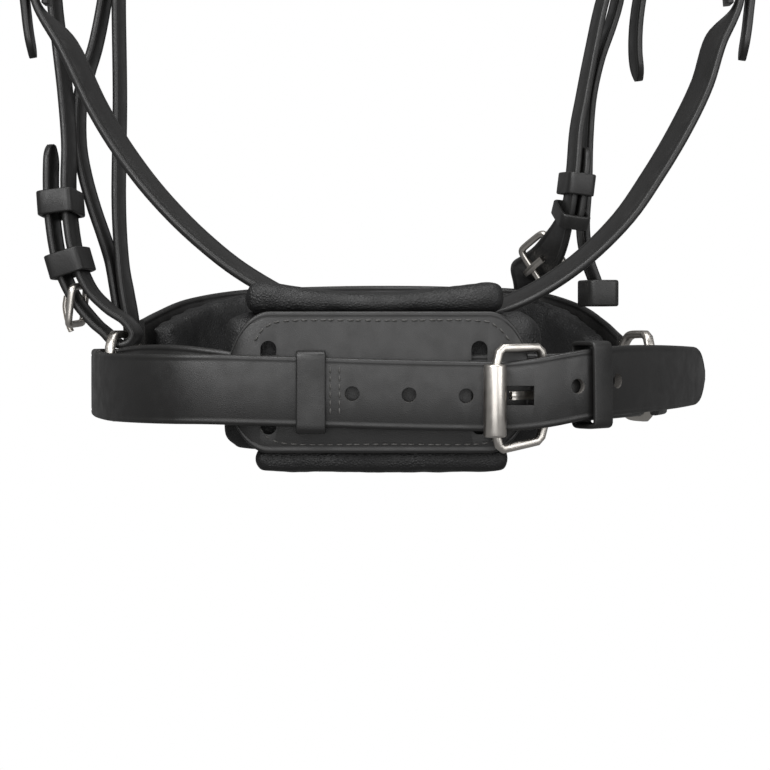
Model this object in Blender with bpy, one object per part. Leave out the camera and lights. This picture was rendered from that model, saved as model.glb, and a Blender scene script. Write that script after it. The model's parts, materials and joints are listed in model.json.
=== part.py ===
"""Bitless hackamore: a leather headstall with a padded noseband and a chin strap. Metres, +Z up.

The origin is under the middle of the headpiece, where it rests on the poll. The horse's nose points to +Y,
the chin is at -Y, and the horse's left is at -X.
"""

import math

import bmesh
import bpy
import numpy as np
from mathutils import Vector

# Driving dimensions
NOSE_Z = -0.470          # height of the chin strap's centreline
LEATHER = 0.0034         # thickness of the chin strap and the nosepiece
THIN = 0.0028            # thickness of the other straps
GAP = 0.0004             # clearance between pieces that touch
CHIN_WIDTH = 0.026
CHEEK_WIDTH = 0.014
HANGER_WIDTH = 0.013
THROAT_WIDTH = 0.014
CROWN_WIDTH = 0.046
ROLLER_RADIUS = 0.00425
TURN_STEP = 0.15         # most turn, in radians, between two stations of a strap
LONGEST_STEP = 0.030

BLACK = (0.020, 0.019, 0.018, 1.0)
SOFT_BLACK = (0.012, 0.012, 0.012, 1.0)
NICKEL = (0.62, 0.59, 0.55, 1.0)


# Scene, materials and meshes

def clear_scene():
    for obj in list(bpy.data.objects):
        bpy.data.objects.remove(obj, do_unlink=True)


def make_material(name, colour, metallic, roughness):
    material = bpy.data.materials.new(name)
    material.use_nodes = True
    shader = material.node_tree.nodes["Principled BSDF"]
    shader.inputs["Base Color"].default_value = colour
    shader.inputs["Metallic"].default_value = metallic
    shader.inputs["Roughness"].default_value = roughness
    return material


def add_object(name, mesh, material, smooth=False):
    if material:
        mesh.materials.append(material)
    obj = bpy.data.objects.new(name, mesh)
    bpy.context.scene.collection.objects.link(obj)
    if smooth:
        mesh.shade_smooth()
        mesh.set_sharp_from_angle(angle=math.radians(35))
    return obj


def mesh_from(name, points, faces):
    mesh = bpy.data.meshes.new(name)
    mesh.from_pydata([tuple(p) for p in points], [], faces)
    box = bmesh.new()
    box.from_mesh(mesh)
    bmesh.ops.remove_doubles(box, verts=box.verts, dist=1e-7)
    bmesh.ops.recalc_face_normals(box, faces=box.faces)
    box.to_mesh(mesh)
    box.free()
    return mesh


def set_origin(obj, point):
    """Moves the object's origin to a joint's axis without moving its shape."""
    place = Vector(point)
    for vertex in obj.data.vertices:
        vertex.co -= place
    obj.location = place


def boolean(obj, cutter, operation, solver="EXACT"):
    modifier = obj.modifiers.new(operation.lower(), "BOOLEAN")
    modifier.operation = operation
    modifier.object = cutter
    modifier.solver = solver
    cutter.hide_render = True
    cutter.display_type = "WIRE"


# Smooth routes

def smooth_route(points, samples=24):
    """Catmull-Rom curve through the points."""
    given = [np.array(p, float) for p in points]
    ends = [2 * given[0] - given[1]] + given + [2 * given[-1] - given[-2]]
    curve = []
    for i in range(1, len(ends) - 2):
        a, b, c, d = ends[i - 1:i + 3]
        for k in range(samples):
            t = k / samples
            curve.append(0.5 * (2 * b + (c - a) * t + (2 * a - 5 * b + 4 * c - d) * t * t
                                + (3 * b - a - 3 * c + d) * t ** 3))
    curve.append(given[-1])
    return np.array(curve)


def beside(points, sides, distance):
    """The route that runs beside another at a distance, towards its outer face."""
    given = np.array(points, float)
    along = tangents_of(given)
    across = np.array(sides if isinstance(sides, list) else [sides] * len(given), float)
    across -= along * np.sum(along * across, axis=1)[:, None]
    across /= np.linalg.norm(across, axis=1)[:, None]
    return [tuple(p) for p in given + np.cross(across, along) * distance]


def tangents_of(curve):
    steps = np.gradient(curve, axis=0)
    return steps / np.linalg.norm(steps, axis=1)[:, None]


def stations(curve):
    """The samples to keep, so that neither the turn nor the distance between two gets large."""
    along = tangents_of(curve)
    kept = [0]
    for i in range(1, len(curve) - 1):
        turn = math.acos(max(-1.0, min(1.0, float(along[i] @ along[kept[-1]]))))
        gone = np.linalg.norm(curve[i] - curve[kept[-1]])
        if turn > TURN_STEP or gone > LONGEST_STEP:
            kept.append(i)
    return kept + [len(curve) - 1]


def sweep(curve, sides, widths, thick, taper_start=0.0, taper_end=0.0):
    """Points and faces of a flat strap along a curve. sides is the direction of its width at each sample."""
    along = tangents_of(curve)
    lengths = np.concatenate([[0], np.cumsum(np.linalg.norm(np.diff(curve, axis=0), axis=1))])
    total = lengths[-1]
    kept = set(stations(curve))
    for part in (0.1, 0.3, 0.6, 1.0):
        if taper_start:
            kept.add(int(np.argmin(abs(lengths - part * taper_start))))
        if taper_end:
            kept.add(int(np.argmin(abs(lengths - total + part * taper_end))))
    kept = sorted(kept)
    points = []
    for i in kept:
        side = sides[i] - along[i] * (along[i] @ sides[i])
        side /= np.linalg.norm(side)
        out = np.cross(side, along[i])
        half = widths[i] / 2
        for taper, gone in ((taper_start, lengths[i]), (taper_end, total - lengths[i])):
            if taper and gone < taper:
                half *= max(0.30, math.sqrt(1 - (1 - gone / taper) ** 2))
        for across, up in ((-1, -1), (1, -1), (1, 1), (-1, 1)):
            points.append(curve[i] + side * across * half + out * up * thick / 2)
    faces = [(0, 1, 2, 3)]
    for k in range(len(kept) - 1):
        base = 4 * k
        for j in range(4):
            n = (j + 1) % 4
            faces.append((base + j, base + n, base + 4 + n, base + 4 + j))
    base = 4 * (len(kept) - 1)
    faces.append((base + 3, base + 2, base + 1, base))
    return points, faces


def strap(name, points, sides, width, material, thick=THIN, taper_start=0.0, taper_end=0.0):
    """A flat strap through the points. sides is one width direction, or one for each point. So is width."""
    count = len(points)
    sides = sides if isinstance(sides, list) else [sides] * count
    widths = width if isinstance(width, list) else [width] * count
    curve = smooth_route(points)
    across = smooth_route(sides)
    wide = smooth_route([(w, 0, 0) for w in widths])[:, 0]
    made = sweep(curve, across, wide, thick, taper_start, taper_end)
    return add_object(name, mesh_from(name, *made), material, smooth=True)


def block(name, near, far, material, bevel=0.0, segments=2):
    """A box with rounded edges."""
    box = bmesh.new()
    bmesh.ops.create_cube(box, size=1.0)
    size = [b - a for a, b in zip(near, far)]
    middle = [(a + b) / 2 for a, b in zip(near, far)]
    for vertex in box.verts:
        vertex.co = Vector([v * s + m for v, s, m in zip(vertex.co, size, middle)])
    if bevel:
        bmesh.ops.bevel(box, geom=box.edges[:], offset=bevel, segments=segments, affect="EDGES", profile=0.5)
    mesh = bpy.data.meshes.new(name)
    box.to_mesh(mesh)
    box.free()
    return add_object(name, mesh, material, smooth=bevel > 0)


def rod(name, start, end, radius, material, sides=12, bevel=0.0):
    """A round bar from start to end, with chamfered ends."""
    a, b = Vector(start), Vector(end)
    axis = (b - a).normalized()
    side = axis.orthogonal().normalized()
    up = axis.cross(side)
    levels = [(0.0, radius)] if not bevel else [(0.0, radius - bevel), (bevel, radius)]
    length = (b - a).length
    levels += [(length - d, r) for d, r in reversed(levels)]
    points = []
    for along, r in levels:
        for k in range(sides):
            t = 2 * math.pi * k / sides
            points.append(a + axis * along + side * r * math.cos(t) + up * r * math.sin(t))
    faces = [tuple(range(sides))]
    for level in range(len(levels) - 1):
        for k in range(sides):
            n = (k + 1) % sides
            first, second = level * sides, (level + 1) * sides
            faces.append((first + k, first + n, second + n, second + k))
    faces.append(tuple(reversed(range((len(levels) - 1) * sides, len(levels) * sides))))
    return add_object(name, mesh_from(name, points, faces), material, smooth=True)


def frame_axes(along, out):
    """Right-handed axes of a buckle: u along the strap, v across it, w out of its face."""
    u = np.array(along, float) / np.linalg.norm(along)
    w = np.array(out, float)
    w -= u * (w @ u)
    w /= np.linalg.norm(w)
    return u, np.cross(w, u), w


def closed_loop(name, outline, centre, axes, thick, wide, material):
    """A closed bar of rectangular section that follows an outline given in the axes' first two directions."""
    u, v, w = axes
    count = len(outline)
    points = []
    for k in range(count):
        x, y = outline[k]
        before, after = outline[k - 1], outline[(k + 1) % count]
        tx, ty = after[0] - before[0], after[1] - before[1]
        size = math.hypot(tx, ty)
        nx, ny = ty / size, -tx / size
        for across, up in ((-1, -1), (1, -1), (1, 1), (-1, 1)):
            px, py = x + nx * across * wide / 2, y + ny * across * wide / 2
            points.append(centre + u * px + v * py + w * up * thick / 2)
    faces = []
    for k in range(count):
        for j in range(4):
            n = (j + 1) % 4
            far = 4 * ((k + 1) % count)
            faces.append((4 * k + j, 4 * k + n, far + n, far + j))
    return add_object(name, mesh_from(name, points, faces), material, smooth=True)


def round_rectangle(length, height, radius, corner=4):
    """Outline of a rectangle with rounded corners, anticlockwise."""
    points = []
    for cx, cy, start in ((1, 1, 0), (-1, 1, 90), (-1, -1, 180), (1, -1, 270)):
        for k in range(corner):
            t = math.radians(start + 90 * k / (corner - 1))
            points.append((cx * (length / 2 - radius) + radius * math.cos(t),
                           cy * (height / 2 - radius) + radius * math.sin(t)))
    return points


# Small tack buckles and keepers, all of one pattern

BAR = 0.0028                                         # thickness of a small buckle's bars
FOLD = BAR * 0.71 + 0.0006 + THIN / 2                # radius of a strap's fold round a heel bar
PLAIN_LIFT = THIN / 2 + GAP + BAR * 0.71             # heel bar to strap layer, with no fold between
FOLD_LIFT = FOLD + THIN + GAP                        # heel bar to strap layer, over a folded strap end


def small_buckle(name, heel, along, out, width, material, heel_lift):
    """A buckle whose heel bar lies under a strap layer and whose front bar lies over it.

    along points from the heel bar to the front bar, and heel_lift is from the heel bar to the layer's middle.
    The tongue lies on the strap and turns on the heel bar.
    """
    u, v, w = frame_axes(along, out)
    heel = np.array(heel, float)
    reach = 0.0135
    front = heel + u * reach + w * (heel_lift + PLAIN_LIFT)
    tilted = frame_axes(front - heel, w)
    length = float(np.linalg.norm(front - heel))
    outline = round_rectangle(length, width + BAR + 0.0022, 0.0022, 3)
    closed_loop(name + "_frame", outline, (heel + front) / 2, tilted, BAR, BAR, material)
    face = heel + w * (heel_lift + THIN / 2)
    over = front + w * (BAR / 2 + 0.0014)
    route = [face + u * 0.0015 + w * 0.0014, face * 0.5 + over * 0.5 - u * 0.001 + w * 0.0012,
             over - u * 0.0010, over + u * 0.0022]
    curve = smooth_route(route, 4)
    made = sweep(curve, np.array([v] * len(curve)), [0.0024] * len(curve), 0.0016)
    tongue = add_object(name + "_tongue", mesh_from(name + "_tongue", *made), material, smooth=True)
    set_origin(tongue, heel)


def fold_round(heel, up, out):
    """Route of a strap's end folded round a heel bar: the short inner leg, the fold, then the outer leg."""
    heel, up, out = (np.array(p, float) for p in (heel, up, out))
    up /= np.linalg.norm(up)
    out = out - up * (out @ up)
    out /= np.linalg.norm(out)
    legs = [heel - out * 0.0026 - up * 0.020, heel - out * FOLD - up * 0.005]
    for degrees in (180, 135, 90, 45, 0):
        t = math.radians(degrees)
        legs.append(heel + out * FOLD * math.cos(t) + up * FOLD * math.sin(t))
    legs.append(heel + out * FOLD - up * 0.005)
    legs.append(heel + out * 0.0012 - up * 0.020)
    return [tuple(p) for p in legs]


def keeper(name, place, along, out, width, depth, material, long=0.010, wall=0.0018):
    """A leather loop round a stack of straps, width and depth across. long is its size along the strap."""
    u, v, w = frame_axes(along, out)
    outline = round_rectangle(depth + 2 * GAP + wall, width + 2 * GAP + wall, 0.0018, 3)
    return closed_loop(name, outline, np.array(place, float), (w, v, u), long, wall, material)


# Places: millimetres, across and back from the middle, and up from the chin strap or from the poll

def low(x, y, up):
    return (x / 1000, y / 1000, NOSE_Z + up / 1000)


def high(x, y, z):
    return (x / 1000, y / 1000, z / 1000)


UP = (0, 0, 1)
LEFT, RIGHT = (-0.975, 0.22, 0), (0.975, 0.22, 0)         # out of the cheek straps' faces
TWIST_LEFT, TWIST_RIGHT = (0.22, 0.975, 0), (-0.22, 0.975, 0)
CROWN_ARCH = [high(x, 0, z) for x, z in ((-80, -50), (-66, -22), (-44, 0), (-20, 9.6), (-8, 10.4), (8, 10.4),
                                         (20, 9.6), (44, 0), (66, -22), (80, -50))]


def headpiece(leather, soft):
    crown = strap("crownpiece", CROWN_ARCH, (0, 1, 0), CROWN_WIDTH, leather, thick=0.0040)
    tails = {
        "left_cheek": [high(-73, 0, -34), high(-80, 0, -50), high(-104, 8, -100), high(-126, 20, -160),
                       high(-137, 27, -210), high(-138, 28, -228), high(-138, 28, -250), high(-138, 28, -268)],
        "left_hanger": [high(-73, 15.5, -34), high(-80, 16, -50), high(-97, 24, -100), high(-110, 40, -160),
                        high(-115, 47, -210), high(-115, 48, -228), high(-115, 48, -250),
                        high(-115, 48, -266)],
        "left_throat": [high(-73, -15.5, -34), high(-80, -16, -50), high(-102, -20, -100),
                        high(-126, -26, -170), high(-141, -29, -250), high(-143, -29, -297),
                        high(-141, -29, -325), high(-138.5, -30, -341)],
        "right_cheek": [high(73, 0, -34), high(80, 0, -50), high(97, 8, -100), high(103, 22, -160),
                        high(103, 33, -210), high(103, 34, -228), high(103, 34, -250), high(103, 34, -268)],
        "right_hanger": [high(73, 15.5, -34), high(80, 16, -50), high(101, 27, -100), high(114, 44, -160),
                         high(116.2, 50.6, -215), high(116, 51, -236), high(116, 51, -256), high(112, 51, -285),
                         high(107, 51, -313), high(106, 51, -330), high(107.5, 51, -343)],
        "right_throat": [high(73, -15.5, -34), high(80, -16, -50), high(102, -20, -100),
                         high(127, -26, -170), high(143, -29, -250), high(145, -29, -297),
                         high(143, -29, -325), high(140.5, -30, -342)],
    }
    for name, route in tails.items():
        narrow = name.endswith("hanger")
        twist = (0, 1, 0) if "throat" in name else TWIST_LEFT if "left" in name else TWIST_RIGHT
        tail = strap("cutter_" + name, route, [(0, 1, 0)] * 2 + [twist] * (len(route) - 2),
                     HANGER_WIDTH if narrow else CHEEK_WIDTH, None, taper_end=0.008)
        boolean(crown, tail, "UNION")
    pad = beside(CROWN_ARCH, (0, 1, 0), 0.0064)[1:-1]
    strap("crown_pad", pad, (0, 1, 0), 0.054, soft, thick=0.0080)
    half_brow = [(-94, 38, -70), (-91, 59, -74), (-74, 86, -82), (-44, 104, -87)]
    brow = [high(*p) for p in half_brow] + [high(0, 110, -89)] + [high(-x, y, z) for x, y, z in half_brow[::-1]]
    strap("browband", brow, UP, 0.016, leather)
    for side, sign in (("left", -1), ("right", 1)):
        keeper("browband_loop_" + side, high(sign * 90.6, 12.5, -75.5), (sign * 0.43, 0.16, -0.89),
               (sign * 0.9, 0.0, 0.43), 0.038, 0.012, leather, long=0.014, wall=0.0024)


def buckled_top(heel, out):
    """The start of a strap that hangs from a buckle, folded round its heel bar."""
    return fold_round(heel, UP, out)


def cheek_straps(leather, nickel):
    # Left: down from its buckle, through the side ring, and back up outside itself.
    heel = np.array(high(-138, 28, -232)) - np.array(LEFT) * FOLD_LIFT
    down = [low(-134.5, 27.5, 203), low(-137, 27.5, 178), low(-137, 27, 160), low(-134.5, 24, 140),
            low(-131.5, 19, 118), low(-129.5, 14, 98), low(-129.5, 11, 82), low(-128.6, 9, 68),
            low(-125.8, 7, 52), low(-120.5, 6.5, 39)]
    layer = 2 * PLAIN_LIFT
    back = beside(down[5:], TWIST_LEFT, layer)
    ring_loop = [low(-112.6, 6.6, 30.5), low(-105.4, 6.6, 25.5), low(-101.7, 6.3, 20.4), low(-103.0, 6.3, 16.9),
                 low(-106.6, 6.4, 15.7), low(-110.2, 6.6, 17.1), low(-113.6, 6.6, 20.6), low(-119.0, 7.0, 25.4)]
    strap("cheekpiece_left", buckled_top(heel, LEFT) + down + ring_loop + back[::-1], TWIST_LEFT, CHEEK_WIDTH,
          leather, taper_end=0.008)
    small_buckle("cheek_buckle_left", heel, UP, LEFT, CHEEK_WIDTH, nickel, FOLD_LIFT)
    turns = tangents_of(np.array(down[5:]))
    middle = [(np.array(a) + np.array(b)) / 2 for a, b in zip(down[5:], back)]
    small_buckle("billet_buckle_left", middle[4] * 0.85 + middle[3] * 0.15, turns[4], middle[4] - down[9],
                 CHEEK_WIDTH, nickel, PLAIN_LIFT)
    for name, k, part in (("upper", 1, 0.6), ("lower", 3, 0.15)):
        place = middle[k] * (1 - part) + middle[k + 1] * part
        keeper("billet_keeper_" + name + "_left", place, turns[k] * (1 - part) + turns[k + 1] * part,
               middle[k] - down[5 + k], CHEEK_WIDTH + 0.0008, layer + THIN + 0.0008, leather, long=0.010)
    # Right: down from its buckle to the front of the nosepiece, sewn on outside it.
    heel = np.array(high(103, 34, -232)) - np.array(RIGHT) * FOLD_LIFT
    main = buckled_top(heel, RIGHT) + [
        low(98.5, 34, 203), low(98, 34, 180), low(91, 34, 160), low(86, 31, 138), low(82, 25, 119),
        low(79, 20, 104), low(77.5, 17, 88), low(75.5, 17, 72), low(72, 24, 60), low(67.5, 40, 52),
        low(63, 62, 48), low(61.2, 78, 47.0), low(62.4, 86.5, 41), low(63.0, 87.6, 30), low(63.0, 87.6, 20)]
    band_side = (-0.8, 0.6, 0)
    across = [TWIST_RIGHT] * (len(main) - 7) + [(-0.40, 0.80, 0.45), (-0.55, 0.13, 0.82),
                                                (-0.65, 0.2, 0.75), (-0.85, 0.4, 0.3), band_side, band_side, band_side]
    strap("cheekpiece_right", main, across, CHEEK_WIDTH, leather)
    small_buckle("cheek_buckle_right", heel, UP, RIGHT, CHEEK_WIDTH, nickel, FOLD_LIFT)
    visible = [low(82, 25, 119), low(79, 20, 104), low(77.5, 17, 88), low(75.5, 17, 72), low(72, 24, 60)]
    offset = THIN + 3 * GAP
    billet = beside(visible, TWIST_RIGHT, -offset)
    top = tuple(0.6 * a + 0.4 * b for a, b in zip(billet[1], billet[2]))
    end = tuple(0.7 * a + 0.3 * b for a, b in zip(billet[3], billet[4]))
    strap("cheek_billet_right", [top, billet[2], billet[3], end], TWIST_RIGHT, CHEEK_WIDTH, leather,
          taper_start=0.008)
    place = (np.array(visible[2]) * 0.6 + np.array(visible[3]) * 0.4)
    keeper("billet_keeper_right", place + np.array(RIGHT) * offset / 2, (-0.12, 0, -1), RIGHT,
           CHEEK_WIDTH + 0.0008, offset + THIN + 0.0008, leather, long=0.009)
    keeper("billet_keeper_lower_right", np.array(visible[3]) * 0.75 + np.array(visible[4]) * 0.25
           + np.array(RIGHT) * offset / 2, (-0.2, 0.35, -0.92), (0.975, 0.22, -0.13),
           CHEEK_WIDTH + 0.0012, offset + THIN + 0.0016, leather, long=0.006)
    leg_out = np.array((-0.80, -0.34, -0.48))
    small_buckle("billet_buckle_right", np.array(low(68.2, 36.5, 53.0)) - leg_out * (PLAIN_LIFT + 0.0004),
                 (-0.22, 0.93, -0.29), leg_out, CHEEK_WIDTH, nickel, PLAIN_LIFT)


def throat_straps(leather, nickel):
    left = np.array(high(-143 + 1000 * FOLD_LIFT, -29, -300))
    right = np.array(high(145 - 1000 * FOLD_LIFT, -29, -300))
    under = [low(-125, -33, 134), low(-113, -38, 110), low(-102, -42, 92), low(-88, -47, 74),
             low(-71, -52, 57), low(-52, -54, 42.5), low(-27, -55, 30), low(2, -55.5, 24), low(28, -55.5, 26),
             low(52, -56, 34), low(73, -56, 47), low(91, -53, 64), low(104, -47, 82), low(115, -42, 100),
             low(124, -37, 118), low(130, -33, 136)]
    start = buckled_top(left, (-1, 0, 0))
    end = buckled_top(right, (1, 0, 0))[::-1]
    lean = [(-0.38 * max(-1.0, min(1.0, x / 0.115)), 0.93, 0.30) for x, _, _ in under]
    straight = [(0, 1, 0)] * len(start)
    strap("throatlatch", start + under + end, straight + lean + straight, THROAT_WIDTH, leather)
    small_buckle("throat_buckle_left", left, UP, (-1, 0, 0), THROAT_WIDTH, nickel, FOLD_LIFT)
    small_buckle("throat_buckle_right", right, UP, (1, 0, 0), THROAT_WIDTH, nickel, FOLD_LIFT)


def inner_straps(leather, nickel):
    """The nosepiece's hangers, each in a buckle of its own, and the second cheek strap on each side."""
    heel = np.array(high(-115, 48, -232)) - np.array(LEFT) * FOLD_LIFT
    route = buckled_top(heel, LEFT) + [low(-112, 47.5, 203), low(-112, 46, 180), low(-112, 44, 158),
                                       low(-111, 38, 118), low(-111, 32, 76), low(-109.5, 29, 51),
                                       low(-107.5, 28, 37), low(-105.6, 27.6, 26), low(-105.2, 27.6, 15)]
    across = [TWIST_LEFT] * (len(route) - 3) + [(0.3, 0.95, 0)] * 3
    strap("noseband_hanger_left", route, across, HANGER_WIDTH, leather)
    small_buckle("hanger_buckle_left", heel, UP, LEFT, HANGER_WIDTH, nickel, FOLD_LIFT)
    heel = np.array(high(116, 51, -236)) - np.array(RIGHT) * FOLD_LIFT
    route = buckled_top(heel, RIGHT) + [low(104.5, 49, 205), low(101, 46, 180), low(97.5, 42, 160),
                                        low(94, 39, 148), low(89, 36, 134), low(85.5, 35, 118),
                                        low(84, 33, 100), low(83.5, 31.5, 82), low(82.5, 31, 64),
                                        low(84.5, 32, 51), low(88, 33, 41), low(89.0, 33.5, 33)]
    strap("noseband_hanger_right", route, TWIST_RIGHT, HANGER_WIDTH, leather)
    small_buckle("hanger_buckle_right", heel, UP, RIGHT, HANGER_WIDTH, nickel, FOLD_LIFT)
    strap("inner_cheek_strap_left", [low(-115.5, 48.3, 198), low(-115.6, 47, 182), low(-118.0, 44, 160),
                                     low(-121.0, 40, 142), low(-124, 36, 130), low(-127, 32, 117),
                                     low(-127, 29, 100), low(-124.5, 27, 86), low(-120.5, 26, 72),
                                     low(-116.5, 27, 60), low(-113.7, 29, 50), low(-111.6, 29, 38),
                                     low(-110.0, 28.6, 28)],
          TWIST_LEFT, HANGER_WIDTH, leather)


RING_LEFT, RING_RIGHT = (-108, 4), (104, 4)                # middles of the side rings, across and back
RING_UP = 3.1
RING_HALF = 16.9                                           # half its height, to the middle of the wire
BAND = [(-100.5, 25), (-95, 42), (-83, 62), (-61, 81), (-31, 93), (0, 97), (31, 93), (61, 81), (81, 62),
        (91.5, 42), (96.5, 25)]
BAND_UP = [13, 15, 18, 20.5, 21.5, 22, 21.5, 20.5, 16, 11, 7]
BAND_HEIGHT = [0.026, 0.029, 0.034, 0.037, 0.038, 0.038, 0.038, 0.037, 0.034, 0.029, 0.026]


def side_ring(name, place, sign, nickel):
    """A D-shaped ring: a straight bar in front for the chin strap, and an arch behind for the nosepiece."""
    lean = math.radians(20)
    back = np.array((-sign * math.sin(lean), math.cos(lean), 0.0))
    outline = [(-9.6, -RING_HALF), (-9.6, RING_HALF)]
    outline += [(7 + 13.0 * math.cos(math.radians(t)), RING_HALF * math.sin(math.radians(t)))
                for t in (90, 72, 54, 36, 18, 0, -18, -36, -54, -72, -90)]
    outline = [(x / 1000, y / 1000) for x, y in outline]
    across = np.cross(back, np.array((0.0, 0.0, 1.0)))
    return closed_loop(name, outline, np.array(low(*place, RING_UP)), (back, np.array((0.0, 0.0, 1.0)), across),
                       0.0040, 0.0032, nickel)


def noseband(leather, soft):
    band = [low(x, y, up) for (x, y), up in zip(BAND, BAND_UP)]
    strap("nosepiece", band, UP, BAND_HEIGHT, leather)
    inside = beside(band, UP, -0.0100)
    strap("nosepiece_padding", inside, UP, [h - 0.004 for h in BAND_HEIGHT], soft, thick=0.0100)
    for side, sign, place, ends in (("left", -1, RING_LEFT, (-100.5, -95)), ("right", 1, RING_RIGHT, (96.5, 91.5))):
        ring_x, ring_y = place[0] - sign * 6.9, place[1] + 18.9
        start_x, far_x = ends
        out = (sign * 0.95, 0.31)
        leg = 3.2
        route = [low(far_x + out[0] * leg, 42 + out[1] * leg, RING_UP),
                 low(start_x + out[0] * leg, 27 + out[1] * leg, RING_UP)]
        for degrees in (10, -35, -80, -125, -170):
            t = math.radians(degrees)
            route.append(low(ring_x + sign * 4.8 * math.cos(t), ring_y + 4.8 * math.sin(t), RING_UP))
        route += [low(start_x - out[0] * leg, 27 - out[1] * leg, RING_UP),
                  low(far_x - out[0] * leg, 42 - out[1] * leg, RING_UP)]
        strap("ring_tab_" + side, route, UP, 0.012, leather, thick=0.0018)
    keeper("nosepiece_loop_right", low(89.0, 33.4, 37.0), UP, (1, 0.2, 0), 0.0150, 0.0075, leather,
           long=0.011, wall=0.0026)


# The chin strap runs from the right ring, through the pad, round the left ring and back across the front.
INNER = [(91, -56.5), (98, -40), (101.2, -24), (102.5, -11), (102.5, -5), (103.9, -1.6), (107.3, -0.2),
         (110.7, -1.6), (112.1, -5)]
OUTER_RIGHT = [(40.6, -93.3), (50, -94.1), (59.6, -95.3), (70, -93.4), (80, -86.8), (91.5, -73.5),
               (103.5, -54.5), (115, -32), (124, -11), (128.5, 2)]
OUTER_RIGHT_UP = [-2.6, -2.2, -1.0, 1.0, 2.4, 3.2, 3.4, 3.4, 3.4, 3.4]
HEEL_BAR = (59.6, -89.2)
ROLLER = (40.6, -99.7)
STRAP_HOLES = ((-12.2, -1.6), (8.9, -2.0), (30.1, -2.4), (71.0, 1.2), (86.0, 2.9))
SLOTS = (-43.5, 35.2)


def chin_strap(leather):
    route = [low(106.0, -33, 1.2), low(110.4, -18, 1.2)]
    route += [low(x, y, 1.2) for x, y in INNER[::-1]]
    route += [low(84, -66.5, 1.0), low(73, -77.6, 0.6), low(64, -82.3, 0.2), low(52, -83.9, 0),
              low(20, -84.1, 0), low(-20, -84.1, 0), low(-50, -83.9, 0), low(-62, -82.2, 1.5),
              low(-75, -77.3, 3.0), low(-86, -69, 3.4), low(-95, -56, 3.0), low(-102, -38, 2.0),
              low(-105.6, -21, 1.4), low(-106.5, -11, 1.2), low(-106.5, -5, 1.2), low(-107.9, -1.6, 1.2),
              low(-111.3, -0.2, 1.2), low(-114.7, -1.6, 1.2), low(-116.1, -5, 1.2), low(-116.1, -11, 1.2),
              low(-114.9, -22, 0.8), low(-111, -41, 0.4),
              low(-104.2, -60, 0), low(-92.5, -78.5, 0), low(-79.5, -89, 0), low(-66, -92.8, 0),
              low(-50, -93.3, -0.4), low(-27.5, -93.3, -1.0), low(5, -93.3, -2.0)]
    route += [low(x, y, up) for (x, y), up in zip(OUTER_RIGHT, OUTER_RIGHT_UP)]
    count = len(route)
    widths = [CHIN_WIDTH] * (count - 4) + [0.0255, 0.0245, 0.0232, 0.0222]
    made = strap("chin_strap", route, UP, widths, leather, thick=LEATHER, taper_end=0.010)
    for x, up in STRAP_HOLES[:3]:
        boolean(made, rod("cutter_hole", low(x, -97, up), low(x, -90, up), 0.0028, None, sides=12), "DIFFERENCE")
    for (x, up), y, aim in zip(STRAP_HOLES[3:], (-93.0, -80.2), ((0.35, -0.94), (0.73, -0.68))):
        a = low(x + aim[0] * 4, y + aim[1] * 4, up)
        b = low(x - aim[0] * 4, y - aim[1] * 4, up)
        boolean(made, rod("cutter_hole", a, b, 0.0028, None, sides=12), "DIFFERENCE")
    slot = block("cutter_slot", low(44.6, -99, -5.8), low(55.2, -88, 1.4), None)
    boolean(made, slot, "DIFFERENCE")


def chin_buckle(leather, nickel):
    heel, roller = np.array(low(*HEEL_BAR, -1.2)), np.array(low(*ROLLER, -4.2))
    # The chape, folded round the heel bar, with a slot for the tongue.
    outer = [low(x, y, 0.6) for x, y in ((88.5, -73.2), (77.5, -84.4), (69.4, -90.2))]
    inner = [low(x, y, 0.6) for x, y in ((67.8, -87.6), (76.0, -82.4), (86.8, -71.4), (94.5, -59.5))]
    fold = 3.1
    bend = [low(HEEL_BAR[0] + fold * math.cos(math.radians(t)), HEEL_BAR[1] + fold * math.sin(math.radians(t)), 0)
            for t in (-75, -120, -165, -210, -255, -285)]
    chape = strap("buckle_chape", outer + bend + inner, UP, 0.022, leather, thick=0.0014)
    boolean(chape, block("cutter_chape", low(50, -99, -4.4), low(65, -80, 2.0), None), "DIFFERENCE",
            "MANIFOLD")
    # The frame: a trapezium, longer at the roller, whose two long bars end in the roller's and heel's axes.
    along = (heel - roller)[:2]
    length = float(np.linalg.norm(along))
    top_roller, top_heel, low_heel, low_roller = 13.4 + 1.8, 14.6 + 1.0, -20.2 + 1.4, -24.6 + 2.0
    outline = [(0.0, top_roller), (length * 500, (top_roller + top_heel) / 2), (length * 1000, top_heel),
               (length * 1000, low_heel), (length * 500, (low_heel + low_roller) / 2), (0.0, low_roller)]
    axis = np.array((along[0], along[1], 0)) / length
    across = np.cross(axis, np.array((0.0, 0.0, 1.0)))
    origin = np.array((roller[0], roller[1], NOSE_Z))
    points = [(x / 1000, z / 1000) for x, z in outline]
    closed_loop("chin_buckle_frame", points, origin, (axis, np.array((0.0, 0.0, 1.0)), across), 0.0032, 0.0032,
                nickel)
    tube = rod("chin_buckle_roller", low(ROLLER[0], ROLLER[1], -17.6), low(ROLLER[0], ROLLER[1], 9.4),
               ROLLER_RADIUS, nickel, sides=20, bevel=0.0006)
    bore = rod("cutter_bore", low(ROLLER[0], ROLLER[1], -20), low(ROLLER[0], ROLLER[1], 12), 0.0027, None,
               sides=16)
    boolean(tube, bore, "DIFFERENCE")
    tongue = [low(56.6, -89.8, -2.2), low(54.0, -90.6, -2.2), low(51.2, -94.0, -2.2), low(48.2, -98.4, -2.2),
              low(46.4, -99.4, -2.2)]
    made = strap("chin_buckle_tongue", tongue, UP, 0.0032, nickel, thick=0.0022)
    set_origin(made, low(*HEEL_BAR, -2.2))
    for vertex in tube.data.vertices:
        vertex.co -= Vector(low(*ROLLER, -4.1))
    tube.location = low(*ROLLER, -4.1)


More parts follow.
